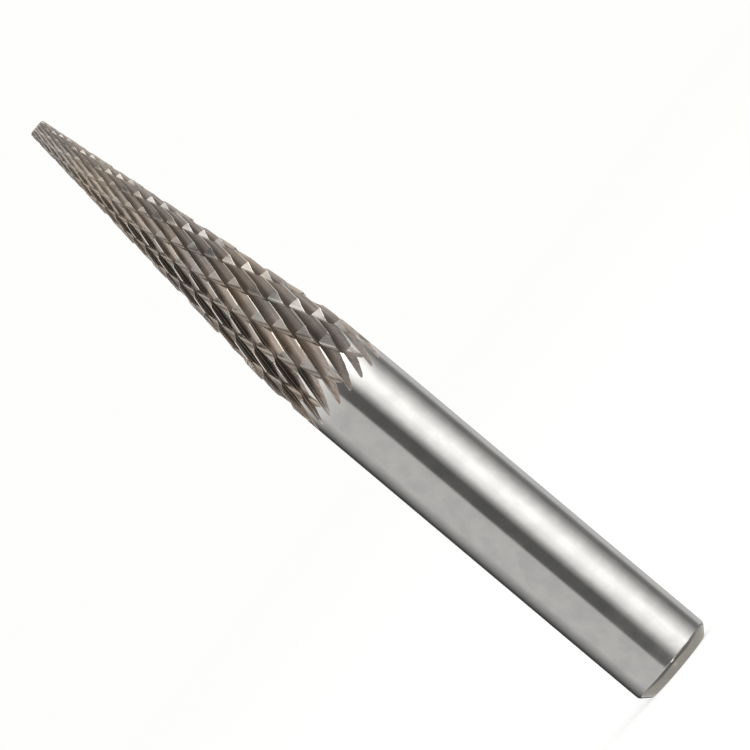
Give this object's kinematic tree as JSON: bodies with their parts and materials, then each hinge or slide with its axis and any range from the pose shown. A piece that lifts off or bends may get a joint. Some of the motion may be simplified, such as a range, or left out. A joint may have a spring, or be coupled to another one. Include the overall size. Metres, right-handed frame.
{
  "type": "carbide burr",
  "caption": "Pointed cone burr of solid carbide with double-cut teeth that run out onto a plain round shank.",
  "frame": {"origin": "centre of the flat end of the shank, on the tool's axis", "axes": "+Z along the tool's axis from the shank end to the nose; X and Y are free but for the teeth, and the row stands on its shank end"},
  "size_m": [0.006, 0.006, 0.05],
  "materials": {
    "ground_carbide": "ground, semi-bright"
  },
  "bodies": {
    "root": {"carbide_burr": "ground_carbide"}
  },
  "joints": []
}
